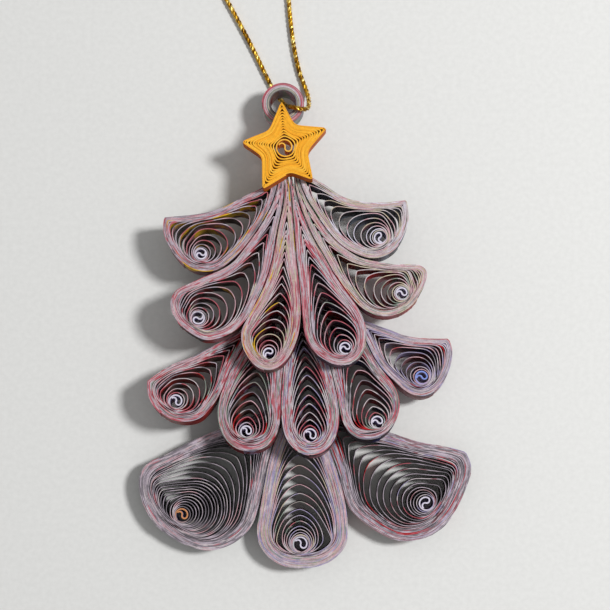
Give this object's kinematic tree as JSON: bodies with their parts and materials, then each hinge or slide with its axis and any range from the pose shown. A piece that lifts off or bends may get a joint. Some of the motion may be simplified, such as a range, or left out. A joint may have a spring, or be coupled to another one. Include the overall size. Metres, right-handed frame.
{
  "type": "quilled paper ornament",
  "caption": "Christmas tree ornament of quilled paper: pinched coils of printed strips in overlapping fans, a golden star, a hanging ring and a gold cord loop.",
  "frame": {"origin": "middle of the ornament's bounding box without its cord, on the floor it lies on (z = 0)", "axes": "+X to the tree's right as seen, +Y towards the tree's top and its hanging ring, +Z towards the viewer, out of the floor"},
  "size_m": [0.0748, 0.1753, 0.0126],
  "materials": {
    "printed_paper": "coated paper strips seen on edge, dull, with printed colours on their sides",
    "golden_paper": "golden yellow paper strips seen on edge, dull",
    "gold_cord": "twisted metallic gold thread, glossy"
  },
  "bodies": {
    "root": {"row1_left_coil": "printed_paper", "row1_right_coil": "printed_paper", "row2_left_coil": "printed_paper", "row2_inner_left_coil": "printed_paper", "row2_inner_right_coil": "printed_paper", "row2_right_coil": "printed_paper", "row3_left_coil": "printed_paper", "row3_inner_left_coil": "printed_paper", "row3_middle_coil": "printed_paper", "row3_inner_right_coil": "printed_paper", "row3_right_coil": "printed_paper", "row4_left_coil": "printed_paper", "row4_middle_coil": "printed_paper", "row4_right_coil": "printed_paper", "hanging_ring": "printed_paper", "star": "golden_paper", "hanging_cord": "gold_cord", "cord_knot": "gold_cord"}
  },
  "joints": []
}
